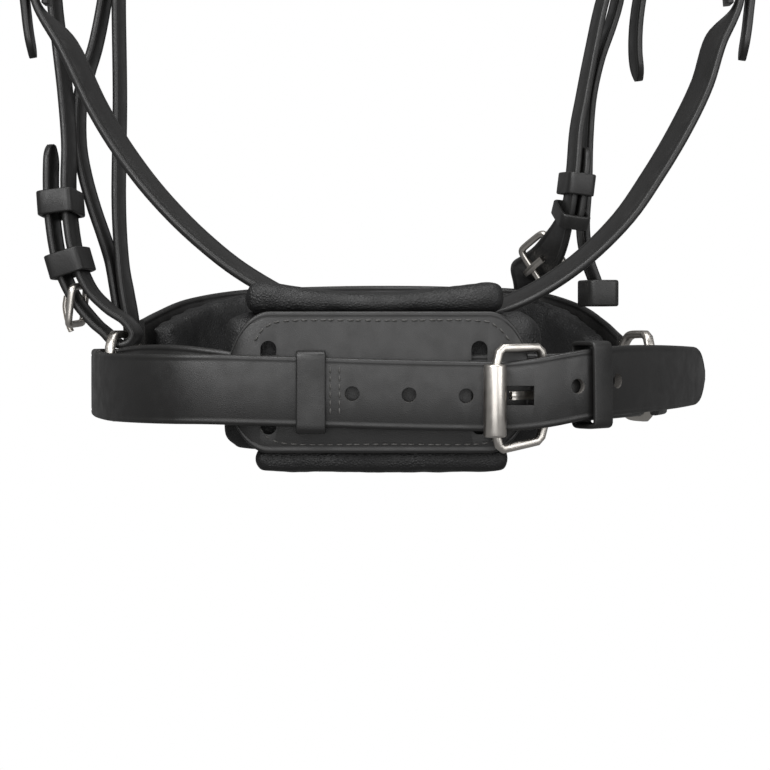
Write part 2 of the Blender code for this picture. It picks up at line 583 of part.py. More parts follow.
def chin_keepers(leather):
    keeper("chin_keeper_fixed", low(-27.5, -93.3, -1.0), (1, 0, 0), (0, -1, 0), CHIN_WIDTH + 0.0006, LEATHER + 0.0004,
           leather, long=0.011, wall=0.0018)
    keeper("chin_keeper_loop", low(77.3, -86.0, 1.6), (0.79, 0.61, 0.02), (0.61, -0.79, 0), CHIN_WIDTH + 0.0024,
           0.0098, leather, long=0.009, wall=0.0018)


def chin_pad(leather, soft):
    facing = [low(-59, -86.6, 2.5), low(-52, -87.6, 2.5), low(-40, -87.8, 2.5), low(0, -87.8, 2.5),
              low(40, -87.8, 2.5), low(49, -87.7, 2.5), low(54.5, -87.2, 2.5)]
    front = strap("chin_pad_facing", facing, UP, 0.053, leather, thick=0.0024, taper_start=0.016,
                  taper_end=0.016)
    for x in SLOTS:
        boolean(front, block("cutter_pad_slot", low(x - 3, -92, -17), low(x + 3, -84, 18), None, 0.0025, 2),
                "DIFFERENCE")
    block("chin_pad_padding", low(-62, -81.0, -24), low(60, -66, 29.2), soft, 0.0070, 2)
    block("chin_pad_top_roll", low(-53, -85.5, 29.7), low(45, -68, 40), soft, 0.0044, 2)
    block("chin_pad_bottom_flap", low(-49, -85.5, -31), low(47, -70, -24.5), soft, 0.0030, 2)


def main():
    clear_scene()
    leather = make_material("bridle_leather", BLACK, 0.0, 0.45)
    soft = make_material("soft_leather", SOFT_BLACK, 0.0, 0.7)
    nickel = make_material("satin_nickel", NICKEL, 1.0, 0.3)
    headpiece(leather, soft)
    cheek_straps(leather, nickel)
    throat_straps(leather, nickel)
    inner_straps(leather, nickel)
    side_ring("side_ring_left", RING_LEFT, -1, nickel)
    side_ring("side_ring_right", RING_RIGHT, 1, nickel)
    noseband(leather, soft)
    chin_strap(leather)
    chin_buckle(leather, nickel)
    chin_keepers(leather)
    chin_pad(leather, soft)


main()
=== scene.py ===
"""The finished look of the bitless hackamore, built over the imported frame."""

import json
import math

import bmesh
import bpy
import numpy as np
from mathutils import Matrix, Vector


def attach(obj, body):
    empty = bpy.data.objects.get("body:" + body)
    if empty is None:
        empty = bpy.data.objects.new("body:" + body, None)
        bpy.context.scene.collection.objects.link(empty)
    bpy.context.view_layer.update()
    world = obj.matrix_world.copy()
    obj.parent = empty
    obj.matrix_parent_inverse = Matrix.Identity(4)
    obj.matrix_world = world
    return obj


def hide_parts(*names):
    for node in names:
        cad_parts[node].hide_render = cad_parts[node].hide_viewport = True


NOSE_Z = -0.470          # height of the chin strap's centreline
LEATHER = 0.0034
THIN = 0.0028
GAP = 0.0004
CHIN_WIDTH = 0.026
CHEEK_WIDTH = 0.014
HANGER_WIDTH = 0.013
THROAT_WIDTH = 0.014
CROWN_WIDTH = 0.046
ROLLER_RADIUS = 0.00425

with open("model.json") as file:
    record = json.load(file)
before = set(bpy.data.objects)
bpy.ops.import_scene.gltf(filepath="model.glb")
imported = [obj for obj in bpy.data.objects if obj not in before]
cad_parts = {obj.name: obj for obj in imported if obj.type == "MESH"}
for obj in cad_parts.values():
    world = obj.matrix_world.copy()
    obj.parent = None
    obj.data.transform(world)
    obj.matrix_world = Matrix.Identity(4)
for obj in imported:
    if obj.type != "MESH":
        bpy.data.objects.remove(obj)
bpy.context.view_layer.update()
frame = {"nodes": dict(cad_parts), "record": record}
BODIES = frame["record"]["behaviour"]["bodies"]
BODY_OF = {node: body for body, nodes in BODIES.items() for node in nodes}


# Materials

def noise_bump(material, coarse, fine, strength, distance, wrinkle=0.0):
    """Leather grain: small cells with a slow wrinkle under them."""
    nodes, links = material.node_tree.nodes, material.node_tree.links
    shader = nodes["Principled BSDF"]
    place = nodes.new("ShaderNodeTexCoord")
    cells = nodes.new("ShaderNodeTexVoronoi")
    cells.feature = "DISTANCE_TO_EDGE"
    cells.inputs["Scale"].default_value = fine
    slow = nodes.new("ShaderNodeTexNoise")
    slow.inputs["Scale"].default_value = coarse
    slow.inputs["Detail"].default_value = 5
    mix = nodes.new("ShaderNodeMath")
    mix.operation = "MULTIPLY_ADD"
    mix.inputs[1].default_value = wrinkle
    links.new(place.outputs["Object"], cells.inputs["Vector"])
    links.new(place.outputs["Object"], slow.inputs["Vector"])
    links.new(slow.outputs["Fac"], mix.inputs[0])
    links.new(cells.outputs["Distance"], mix.inputs[2])
    bump = nodes.new("ShaderNodeBump")
    bump.inputs["Strength"].default_value = strength
    bump.inputs["Distance"].default_value = distance
    links.new(mix.outputs["Value"], bump.inputs["Height"])
    links.new(bump.outputs["Normal"], shader.inputs["Normal"])
    return slow


def material(name, colour, rough, metallic=0.0, spread=0.0, bump=None, specular=0.5):
    made = bpy.data.materials.new(name)
    made.use_nodes = True
    shader = made.node_tree.nodes["Principled BSDF"]
    shader.inputs["Base Color"].default_value = (*colour, 1)
    shader.inputs["Roughness"].default_value = rough
    shader.inputs["Metallic"].default_value = metallic
    shader.inputs["Specular IOR Level"].default_value = specular
    if bump:
        slow = noise_bump(made, *bump)
        if spread:
            ramp = made.node_tree.nodes.new("ShaderNodeMapRange")
            ramp.inputs["From Min"].default_value = 0.35
            ramp.inputs["From Max"].default_value = 0.65
            ramp.inputs["To Min"].default_value = rough - spread
            ramp.inputs["To Max"].default_value = rough + spread
            made.node_tree.links.new(slow.outputs["Fac"], ramp.inputs["Value"])
            made.node_tree.links.new(ramp.outputs["Result"], shader.inputs["Roughness"])
    return made


leather = material("bridle_leather", (0.0125, 0.0122, 0.012), 0.42, spread=0.07,
                   bump=(160, 1500, 0.22, 0.0003, 0.9))
soft = material("soft_leather", (0.0045, 0.0045, 0.0047), 0.56, spread=0.08,
                bump=(90, 900, 0.55, 0.0007, 1.6))
nickel = material("nickel", (0.62, 0.59, 0.55), 0.33, 1.0, spread=0.05, bump=(300, 2500, 0.03, 0.0001, 1.0))
raw_edge = material("raw_edge", (0.16, 0.15, 0.14), 0.7, bump=(400, 2600, 0.5, 0.0003, 1.0))
# Painted highlight: the thread colour is set well above the leather's so that the stitches show the glints that light
# gives them.
thread = material("thread", (0.06, 0.058, 0.055), 0.45)
MATERIALS = {"bridle_leather": leather, "soft_leather": soft, "nickel": nickel}


# Meshes

def mesh_from(name, points, faces):
    mesh = bpy.data.meshes.new(name)
    mesh.from_pydata([tuple(p) for p in points], [], faces)
    shape = bmesh.new()
    shape.from_mesh(mesh)
    bmesh.ops.remove_doubles(shape, verts=shape.verts, dist=1e-7)
    bmesh.ops.recalc_face_normals(shape, faces=shape.faces)
    shape.to_mesh(mesh)
    shape.free()
    return mesh


def add_object(name, mesh, finish, angle=50):
    mesh.materials.append(finish)
    obj = bpy.data.objects.new(name, mesh)
    bpy.context.scene.collection.objects.link(obj)
    mesh.shade_smooth()
    mesh.set_sharp_from_angle(angle=math.radians(angle))
    return obj


def stands_for(obj, node):
    """The finished piece takes the CAD node's place and body."""
    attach(obj, BODY_OF[node])
    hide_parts(node)
    return obj


def apply_modifiers(obj):
    bpy.context.view_layer.update()
    seen = obj.evaluated_get(bpy.context.evaluated_depsgraph_get())
    mesh = bpy.data.meshes.new_from_object(seen)
    obj.modifiers.clear()
    obj.data = mesh


def cut(obj, cutter, solver="EXACT"):
    modifier = obj.modifiers.new("cut", "BOOLEAN")
    modifier.operation = "DIFFERENCE"
    modifier.object = cutter
    modifier.solver = solver
    if solver == "EXACT":
        modifier.material_mode = "TRANSFER"
    apply_modifiers(obj)
    bpy.data.objects.remove(cutter, do_unlink=True)
    obj.data.set_sharp_from_angle(angle=math.radians(50))


def smooth_route(points, samples=24):
    """Catmull-Rom curve through the points."""
    given = [np.array(p, float) for p in points]
    ends = [2 * given[0] - given[1]] + given + [2 * given[-1] - given[-2]]
    curve = []
    for i in range(1, len(ends) - 2):
        a, b, c, d = ends[i - 1:i + 3]
        for k in range(samples):
            t = k / samples
            curve.append(0.5 * (2 * b + (c - a) * t + (2 * a - 5 * b + 4 * c - d) * t * t
                                + (3 * b - a - 3 * c + d) * t ** 3))
    curve.append(given[-1])
    return np.array(curve)


def beside(points, sides, distance):
    """The route that runs beside another at a distance, towards its outer face."""
    given = np.array(points, float)
    along = tangents_of(given)
    across = np.array(sides if isinstance(sides, list) else [sides] * len(given), float)
    across -= along * np.sum(along * across, axis=1)[:, None]
    across /= np.linalg.norm(across, axis=1)[:, None]
    return [tuple(p) for p in given + np.cross(across, along) * distance]


def tangents_of(curve):
    steps = np.gradient(curve, axis=0)
    return steps / np.linalg.norm(steps, axis=1)[:, None]


def profile(half, thick, groove, depth=0.00020):
    """Section of a leather strap: rounded edges, and a crease along each side of both faces."""
    t = thick / 2
    r = min(0.0011, t * 0.85)
    spot = half - groove * min(1.0, half / 0.006)
    points = []
    for corner, start in ((1, -90), (1, 0), (-1, 90), (-1, 180)):
        level = 1 if start in (0, 90) else -1
        if start == 90:
            points += [(spot + 0.0005, t), (spot, t - depth), (spot - 0.0005, t), (0.0, t + 0.00003),
                       (-spot + 0.0005, t), (-spot, t - depth), (-spot - 0.0005, t)]
        for k in range(4):
            a = math.radians(start + 30 * k)
            points.append((corner * (half - r) + r * math.cos(a), level * (t - r) + r * math.sin(a)))
        if start == 180:
            points += [(-spot - 0.0005, -t), (-spot, -t + depth), (-spot + 0.0005, -t), (0.0, -t - 0.00003),
                       (spot - 0.0005, -t), (spot, -t + depth), (spot + 0.0005, -t)]
    return points


def fine_stations(curve, lengths, tapers):
    along = tangents_of(curve)
    kept = [0]
    for i in range(1, len(curve) - 1):
        turn = math.acos(max(-1.0, min(1.0, float(along[i] @ along[kept[-1]]))))
        near = min(lengths[i] if tapers[0] else 1, lengths[-1] - lengths[i] if tapers[1] else 1)
        step = 0.0004 if near < 0.003 else 0.0009 if near < 0.018 else 0.004
        if turn > 0.06 or lengths[i] - lengths[kept[-1]] > step:
            kept.append(i)
    return kept + [len(curve) - 1]


def sweep(curve, sides, widths, thick, taper_start=0.0, taper_end=0.0, groove=0.0022):
    along = tangents_of(curve)
    lengths = np.concatenate([[0], np.cumsum(np.linalg.norm(np.diff(curve, axis=0), axis=1))])
    total = lengths[-1]
    kept = fine_stations(curve, lengths, (taper_start, taper_end))
    points = []
    for i in kept:
        side = sides[i] - along[i] * (along[i] @ sides[i])
        side /= np.linalg.norm(side)
        out = np.cross(side, along[i])
        half = widths[i] / 2
        for taper, gone in ((taper_start, lengths[i]), (taper_end, total - lengths[i])):
            if taper and gone < taper:
                half *= max(0.20, math.sqrt(1 - (1 - gone / taper) ** 2))
        half = max(half, 0.0012)
        ring = profile(half, thick, groove)
        points += [curve[i] + side * x + out * y for x, y in ring]
    size = len(ring)
    faces = [tuple(reversed(range(size)))]
    for k in range(len(kept) - 1):
        for j in range(size):
            n = (j + 1) % size
            faces.append((k * size + j, k * size + n, (k + 1) * size + n, (k + 1) * size + j))
    faces.append(tuple(range((len(kept) - 1) * size, len(kept) * size)))
    return points, faces


def strap(name, points, sides, width, finish, thick=THIN, taper_start=0.0, taper_end=0.0, node=None):
    count = len(points)
    sides = sides if isinstance(sides, list) else [sides] * count
    widths = width if isinstance(width, list) else [width] * count
    curve = smooth_route(points, 60)
    across = smooth_route(sides, 60)
    wide = smooth_route([(w, 0, 0) for w in widths], 60)[:, 0]
    made = sweep(curve, across, wide, thick, taper_start, taper_end)
    return stands_for(add_object("look_" + name, mesh_from(name, *made), finish), node or name)


def rod(name, start, end, radius, finish, sides=32):
    a, b = Vector(start), Vector(end)
    axis = (b - a).normalized()
    side = axis.orthogonal().normalized()
    up = axis.cross(side)
    points = []
    for end_point in (a, b):
        for k in range(sides):
            t = 2 * math.pi * k / sides
            points.append(end_point + side * radius * math.cos(t) + up * radius * math.sin(t))
    faces = [(k, (k + 1) % sides, sides + (k + 1) % sides, sides + k) for k in range(sides)]
    faces += [tuple(range(sides)), tuple(reversed(range(sides, 2 * sides)))]
    return add_object(name, mesh_from(name, points, faces), finish)


def closed_loop(name, outline, centre, axes, thick, wide, finish):
    """A closed bar with a rounded section that follows an outline."""
    u, v, w = axes
    for _ in range(2):
        following = outline[1:] + outline[:1]
        outline = [p for a, b in zip(outline, following)
                   for p in ((a[0] * .8 + b[0] * .2, a[1] * .8 + b[1] * .2),
                             (a[0] * .2 + b[0] * .8, a[1] * .2 + b[1] * .8))]
    r = min(thick, wide) * 0.36
    ring = []
    for sx, sy, start in ((1, 1, 0), (-1, 1, 90), (-1, -1, 180), (1, -1, 270)):
        for k in range(4):
            a = math.radians(start + 30 * k)
            ring.append((sx * (wide / 2 - r) + r * math.cos(a), sy * (thick / 2 - r) + r * math.sin(a)))
    count, size = len(outline), len(ring)
    points = []
    for k in range(count):
        x, y = outline[k]
        before, after = outline[k - 1], outline[(k + 1) % count]
        tx, ty = after[0] - before[0], after[1] - before[1]
        length = math.hypot(tx, ty)
        nx, ny = ty / length, -tx / length
        points += [centre + u * (x + nx * p) + v * (y + ny * p) + w * q for p, q in ring]
    faces = []
    for k in range(count):
        far = size * ((k + 1) % count)
        for j in range(size):
            n = (j + 1) % size
            faces.append((size * k + j, size * k + n, far + n, far + j))
    return stands_for(add_object("look_" + name, mesh_from(name, points, faces), finish), name)


def stitch_row(name, points, outs, pitch=0.0034, long=0.0023, radius=0.00034):
    """A row of thread stitches that lies on a surface; the stitches are capsules in one mesh."""
    curve = smooth_route(points, 40)
    lift = smooth_route(outs if isinstance(outs, list) else [outs] * len(points), 40)
    along = tangents_of(curve)
    lengths = np.concatenate([[0], np.cumsum(np.linalg.norm(np.diff(curve, axis=0), axis=1))])
    verts, faces = [], []
    for s in np.arange(pitch / 2, lengths[-1], pitch):
        i = int(np.argmin(abs(lengths - s)))
        u, w = along[i], lift[i] / np.linalg.norm(lift[i])
        v = np.cross(w, u)
        base = len(verts)
        for reach, fat in ((-0.5, 0.35), (-0.38, 0.85), (0, 1.0), (0.38, 0.85), (0.5, 0.35)):
            drop = -abs(reach) * radius * 1.2
            for k in range(6):
                t = math.pi * k / 3
                verts.append(curve[i] + u * reach * long + v * radius * fat * math.cos(t)
                             + w * (radius * fat * math.sin(t) + drop))
        for lap in range(4):
            for k in range(6):
                n = (k + 1) % 6
                low_ring, next_ring = base + lap * 6, base + lap * 6 + 6
                faces.append((low_ring + k, low_ring + n, next_ring + n, next_ring + k))
        faces += [tuple(range(base + 5, base - 1, -1)), tuple(range(base + 24, base + 30))]
    obj = add_object("stitches_" + name, mesh_from(name, verts, faces), thread)
    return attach(obj, "headstall")


def round_rectangle(length, height, radius, corner=4):
    """Outline of a rectangle with rounded corners, anticlockwise."""
    points = []
    for cx, cy, start in ((1, 1, 0), (-1, 1, 90), (-1, -1, 180), (1, -1, 270)):
        for k in range(corner):
            t = math.radians(start + 90 * k / (corner - 1))
            points.append((cx * (length / 2 - radius) + radius * math.cos(t),
                           cy * (height / 2 - radius) + radius * math.sin(t)))
    return points


def frame_axes(along, out):
    """Right-handed axes of a buckle: u along the strap, v across it, w out of its face."""
    u = np.array(along, float) / np.linalg.norm(along)
    w = np.array(out, float)
    w -= u * (w @ u)
    w /= np.linalg.norm(w)
    return u, np.cross(w, u), w


BAR = 0.0028                                         # thickness of a small buckle's bars
FOLD = BAR * 0.71 + 0.0006 + THIN / 2                # radius of a strap's fold round a heel bar
PLAIN_LIFT = THIN / 2 + GAP + BAR * 0.71             # heel bar to strap layer, with no fold between
FOLD_LIFT = FOLD + THIN + GAP                        # heel bar to strap layer, over a folded strap end


def small_buckle(name, heel, along, out, width, material, heel_lift):
    """A buckle whose heel bar lies under a strap layer and whose front bar lies over it.

    along points from the heel bar to the front bar, and heel_lift is from the heel bar to the layer's middle.
    The tongue lies on the strap and turns on the heel bar.
    """
    u, v, w = frame_axes(along, out)
    heel = np.array(heel, float)
    reach = 0.0135
    front = heel + u * reach + w * (heel_lift + PLAIN_LIFT)
    tilted = frame_axes(front - heel, w)
    length = float(np.linalg.norm(front - heel))
    outline = round_rectangle(length, width + BAR + 0.0022, 0.0022, 3)
    closed_loop(name + "_frame", outline, (heel + front) / 2, tilted, BAR, BAR, material)
    face = heel + w * (heel_lift + THIN / 2)
    over = front + w * (BAR / 2 + 0.0014)
    route = [face + u * 0.0015 + w * 0.0014, face * 0.5 + over * 0.5 - u * 0.001 + w * 0.0012,
             over - u * 0.0010, over + u * 0.0022]
    strap(name + "_tongue", [tuple(p) for p in route], tuple(v), 0.0024, material, thick=0.0016)


def fold_round(heel, up, out):
    """Route of a strap's end folded round a heel bar: the short inner leg, the fold, then the outer leg."""
    heel, up, out = (np.array(p, float) for p in (heel, up, out))
    up /= np.linalg.norm(up)
    out = out - up * (out @ up)
    out /= np.linalg.norm(out)
    legs = [heel - out * 0.0026 - up * 0.020, heel - out * FOLD - up * 0.005]
    for degrees in (180, 135, 90, 45, 0):
        t = math.radians(degrees)
        legs.append(heel + out * FOLD * math.cos(t) + up * FOLD * math.sin(t))
    legs.append(heel + out * FOLD - up * 0.005)
    legs.append(heel + out * 0.0012 - up * 0.020)
    return [tuple(p) for p in legs]


def keeper(name, place, along, out, width, depth, material, long=0.010, wall=0.0018):
    """A leather loop round a stack of straps, width and depth across. long is its size along the strap."""
    u, v, w = frame_axes(along, out)
    outline = round_rectangle(depth + 2 * GAP + wall, width + 2 * GAP + wall, 0.0018, 3)
    return closed_loop(name, outline, np.array(place, float), (w, v, u), long, wall, material)


def low(x, y, up):
    return (x / 1000, y / 1000, NOSE_Z + up / 1000)


def high(x, y, z):
    return (x / 1000, y / 1000, z / 1000)


UP = (0, 0, 1)
LEFT, RIGHT = (-0.975, 0.22, 0), (0.975, 0.22, 0)         # out of the cheek straps' faces
TWIST_LEFT, TWIST_RIGHT = (0.22, 0.975, 0), (-0.22, 0.975, 0)
CROWN_ARCH = [high(x, 0, z) for x, z in ((-80, -50), (-66, -22), (-44, 0), (-20, 9.6), (-8, 10.4), (8, 10.4),
                                         (20, 9.6), (44, 0), (66, -22), (80, -50))]


def headpiece():
    strap("crownpiece", CROWN_ARCH, (0, 1, 0), CROWN_WIDTH, leather, thick=0.0040)
    tails = {
        "left_cheek": [high(-73, 0, -34), high(-80, 0, -50), high(-104, 8, -100), high(-126, 20, -160),
                       high(-137, 27, -210), high(-138, 28, -228), high(-138, 28, -250), high(-138, 28, -268)],
        "left_hanger": [high(-73, 15.5, -34), high(-80, 16, -50), high(-97, 24, -100), high(-110, 40, -160),
                        high(-115, 47, -210), high(-115, 48, -228), high(-115, 48, -250),
                        high(-115, 48, -266)],
        "left_throat": [high(-73, -15.5, -34), high(-80, -16, -50), high(-102, -20, -100),
                        high(-126, -26, -170), high(-141, -29, -250), high(-143, -29, -297),
                        high(-141, -29, -325), high(-138.5, -30, -341)],
        "right_cheek": [high(73, 0, -34), high(80, 0, -50), high(97, 8, -100), high(103, 22, -160),
                        high(103, 33, -210), high(103, 34, -228), high(103, 34, -250), high(103, 34, -268)],
        "right_hanger": [high(73, 15.5, -34), high(80, 16, -50), high(101, 27, -100), high(114, 44, -160),
                         high(116.2, 50.6, -215), high(116, 51, -236), high(116, 51, -256), high(112, 51, -285),
                         high(107, 51, -313), high(106, 51, -330), high(107.5, 51, -343)],
        "right_throat": [high(73, -15.5, -34), high(80, -16, -50), high(102, -20, -100),
                         high(127, -26, -170), high(143, -29, -250), high(145, -29, -297),
                         high(143, -29, -325), high(140.5, -30, -342)],
    }
    for name, route in tails.items():
        narrow = name.endswith("hanger")
        twist = (0, 1, 0) if "throat" in name else TWIST_LEFT if "left" in name else TWIST_RIGHT
        strap("tail_" + name, route, [(0, 1, 0)] * 2 + [twist] * (len(route) - 2),
              HANGER_WIDTH if narrow else CHEEK_WIDTH, leather, taper_end=0.008, node="crownpiece")
    half_brow = [(-94, 38, -70), (-91, 59, -74), (-74, 86, -82), (-44, 104, -87)]
    brow = [high(*p) for p in half_brow] + [high(0, 110, -89)] + [high(-x, y, z) for x, y, z in half_brow[::-1]]
    strap("browband", brow, UP, 0.016, leather)
    for side, sign in (("left", -1), ("right", 1)):
        keeper("browband_loop_" + side, high(sign * 90.6, 12.5, -75.5), (sign * 0.43, 0.16, -0.89),
               (sign * 0.9, 0.0, 0.43), 0.038, 0.012, leather, long=0.014, wall=0.0024)


def buckled_top(heel, out):
    """The start of a strap that hangs from a buckle, folded round its heel bar."""
    return fold_round(heel, UP, out)


def cheek_straps(leather, nickel):
    # Left: down from its buckle, through the side ring, and back up outside itself.
    heel = np.array(high(-138, 28, -232)) - np.array(LEFT) * FOLD_LIFT
    down = [low(-134.5, 27.5, 203), low(-137, 27.5, 178), low(-137, 27, 160), low(-134.5, 24, 140),
            low(-131.5, 19, 118), low(-129.5, 14, 98), low(-129.5, 11, 82), low(-128.6, 9, 68),
            low(-125.8, 7, 52), low(-120.5, 6.5, 39)]
    layer = 2 * PLAIN_LIFT
    back = beside(down[5:], TWIST_LEFT, layer)
    ring_loop = [low(-112.6, 6.6, 30.5), low(-105.4, 6.6, 25.5), low(-101.7, 6.3, 20.4), low(-103.0, 6.3, 16.9),
                 low(-106.6, 6.4, 15.7), low(-110.2, 6.6, 17.1), low(-113.6, 6.6, 20.6), low(-119.0, 7.0, 25.4)]
    strap("cheekpiece_left", buckled_top(heel, LEFT) + down + ring_loop + back[::-1], TWIST_LEFT, CHEEK_WIDTH,
          leather, taper_end=0.008)
    small_buckle("cheek_buckle_left", heel, UP, LEFT, CHEEK_WIDTH, nickel, FOLD_LIFT)
    turns = tangents_of(np.array(down[5:]))
    middle = [(np.array(a) + np.array(b)) / 2 for a, b in zip(down[5:], back)]
    small_buckle("billet_buckle_left", middle[4] * 0.85 + middle[3] * 0.15, turns[4], middle[4] - down[9],
                 CHEEK_WIDTH, nickel, PLAIN_LIFT)
    for name, k, part in (("upper", 1, 0.6), ("lower", 3, 0.15)):
        place = middle[k] * (1 - part) + middle[k + 1] * part
        keeper("billet_keeper_" + name + "_left", place, turns[k] * (1 - part) + turns[k + 1] * part,
               middle[k] - down[5 + k], CHEEK_WIDTH + 0.0008, layer + THIN + 0.0008, leather, long=0.010)
    # Right: down from its buckle to the front of the nosepiece, sewn on outside it.
    heel = np.array(high(103, 34, -232)) - np.array(RIGHT) * FOLD_LIFT
    main = buckled_top(heel, RIGHT) + [
        low(98.5, 34, 203), low(98, 34, 180), low(91, 34, 160), low(86, 31, 138), low(82, 25, 119),
        low(79, 20, 104), low(77.5, 17, 88), low(75.5, 17, 72), low(72, 24, 60), low(67.5, 40, 52),
        low(63, 62, 48), low(61.2, 78, 47.0), low(62.4, 86.5, 41), low(63.0, 87.6, 30), low(63.0, 87.6, 20)]
    band_side = (-0.8, 0.6, 0)
    across = [TWIST_RIGHT] * (len(main) - 7) + [(-0.40, 0.80, 0.45), (-0.55, 0.13, 0.82),
                                                (-0.65, 0.2, 0.75), (-0.85, 0.4, 0.3), band_side, band_side, band_side]
    strap("cheekpiece_right", main, across, CHEEK_WIDTH, leather)
    small_buckle("cheek_buckle_right", heel, UP, RIGHT, CHEEK_WIDTH, nickel, FOLD_LIFT)
    visible = [low(82, 25, 119), low(79, 20, 104), low(77.5, 17, 88), low(75.5, 17, 72), low(72, 24, 60)]
    offset = THIN + 3 * GAP
    billet = beside(visible, TWIST_RIGHT, -offset)
    top = tuple(0.6 * a + 0.4 * b for a, b in zip(billet[1], billet[2]))
    end = tuple(0.7 * a + 0.3 * b for a, b in zip(billet[3], billet[4]))
    strap("cheek_billet_right", [top, billet[2], billet[3], end], TWIST_RIGHT, CHEEK_WIDTH, leather,
          taper_start=0.008)
    place = (np.array(visible[2]) * 0.6 + np.array(visible[3]) * 0.4)
    keeper("billet_keeper_right", place + np.array(RIGHT) * offset / 2, (-0.12, 0, -1), RIGHT,
           CHEEK_WIDTH + 0.0008, offset + THIN + 0.0008, leather, long=0.009)
    keeper("billet_keeper_lower_right", np.array(visible[3]) * 0.75 + np.array(visible[4]) * 0.25
           + np.array(RIGHT) * offset / 2, (-0.2, 0.35, -0.92), (0.975, 0.22, -0.13),
           CHEEK_WIDTH + 0.0012, offset + THIN + 0.0016, leather, long=0.006)
    leg_out = np.array((-0.80, -0.34, -0.48))
    small_buckle("billet_buckle_right", np.array(low(68.2, 36.5, 53.0)) - leg_out * (PLAIN_LIFT + 0.0004),
                 (-0.22, 0.93, -0.29), leg_out, CHEEK_WIDTH, nickel, PLAIN_LIFT)


def throat_straps(leather, nickel):
    left = np.array(high(-143 + 1000 * FOLD_LIFT, -29, -300))
    right = np.array(high(145 - 1000 * FOLD_LIFT, -29, -300))
    under = [low(-125, -33, 134), low(-113, -38, 110), low(-102, -42, 92), low(-88, -47, 74),
             low(-71, -52, 57), low(-52, -54, 42.5), low(-27, -55, 30), low(2, -55.5, 24), low(28, -55.5, 26),
             low(52, -56, 34), low(73, -56, 47), low(91, -53, 64), low(104, -47, 82), low(115, -42, 100),
             low(124, -37, 118), low(130, -33, 136)]
    start = buckled_top(left, (-1, 0, 0))
    end = buckled_top(right, (1, 0, 0))[::-1]
    lean = [(-0.38 * max(-1.0, min(1.0, x / 0.115)), 0.93, 0.30) for x, _, _ in under]
    straight = [(0, 1, 0)] * len(start)
    strap("throatlatch", start + under + end, straight + lean + straight, THROAT_WIDTH, leather)
    small_buckle("throat_buckle_left", left, UP, (-1, 0, 0), THROAT_WIDTH, nickel, FOLD_LIFT)
    small_buckle("throat_buckle_right", right, UP, (1, 0, 0), THROAT_WIDTH, nickel, FOLD_LIFT)


def inner_straps(leather, nickel):
    """The nosepiece's hangers, each in a buckle of its own, and the second cheek strap on the left side."""
    heel = np.array(high(-115, 48, -232)) - np.array(LEFT) * FOLD_LIFT
    route = buckled_top(heel, LEFT) + [low(-112, 47.5, 203), low(-112, 46, 180), low(-112, 44, 158),
                                       low(-111, 38, 118), low(-111, 32, 76), low(-109.5, 29, 51),
                                       low(-107.5, 28, 37), low(-105.6, 27.6, 26), low(-105.2, 27.6, 15)]
    across = [TWIST_LEFT] * (len(route) - 3) + [(0.3, 0.95, 0)] * 3
    strap("noseband_hanger_left", route, across, HANGER_WIDTH, leather)
    small_buckle("hanger_buckle_left", heel, UP, LEFT, HANGER_WIDTH, nickel, FOLD_LIFT)
    heel = np.array(high(116, 51, -236)) - np.array(RIGHT) * FOLD_LIFT
    route = buckled_top(heel, RIGHT) + [low(104.5, 49, 205), low(101, 46, 180), low(97.5, 42, 160),
                                        low(94, 39, 148), low(89, 36, 134), low(85.5, 35, 118),
                                        low(84, 33, 100), low(83.5, 31.5, 82), low(82.5, 31, 64),
                                        low(84.5, 32, 51), low(88, 33, 41), low(89.0, 33.5, 33)]
    strap("noseband_hanger_right", route, TWIST_RIGHT, HANGER_WIDTH, leather)
    small_buckle("hanger_buckle_right", heel, UP, RIGHT, HANGER_WIDTH, nickel, FOLD_LIFT)
    strap("inner_cheek_strap_left", [low(-115.5, 48.3, 198), low(-115.6, 47, 182), low(-118.0, 44, 160),
                                     low(-121.0, 40, 142), low(-124, 36, 130), low(-127, 32, 117),
                                     low(-127, 29, 100), low(-124.5, 27, 86), low(-120.5, 26, 72),
                                     low(-116.5, 27, 60), low(-113.7, 29, 50), low(-111.6, 29, 38),
                                     low(-110.0, 28.6, 28)],
          TWIST_LEFT, HANGER_WIDTH, leather)


RING_LEFT, RING_RIGHT = (-108, 4), (104, 4)                # middles of the side rings, across and back
RING_UP = 3.1
RING_HALF = 16.9                                           # half its height, to the middle of the wire
BAND = [(-100.5, 25), (-95, 42), (-83, 62), (-61, 81), (-31, 93), (0, 97), (31, 93), (61, 81), (81, 62),
        (91.5, 42), (96.5, 25)]
BAND_UP = [13, 15, 18, 20.5, 21.5, 22, 21.5, 20.5, 16, 11, 7]
BAND_HEIGHT = [0.026, 0.029, 0.034, 0.037, 0.038, 0.038, 0.038, 0.037, 0.034, 0.029, 0.026]


def side_ring(name, place, sign, nickel):
    """A D-shaped ring: a straight bar in front for the chin strap, and an arch behind for the nosepiece."""
    lean = math.radians(20)
    back = np.array((-sign * math.sin(lean), math.cos(lean), 0.0))
    outline = [(-9.6, -RING_HALF), (-9.6, RING_HALF)]
    outline += [(7 + 13.0 * math.cos(math.radians(t)), RING_HALF * math.sin(math.radians(t)))
                for t in (90, 72, 54, 36, 18, 0, -18, -36, -54, -72, -90)]
    outline = [(x / 1000, y / 1000) for x, y in outline]
    across = np.cross(back, np.array((0.0, 0.0, 1.0)))
    return closed_loop(name, outline, np.array(low(*place, RING_UP)), (back, np.array((0.0, 0.0, 1.0)), across),
                       0.0040, 0.0032, nickel)


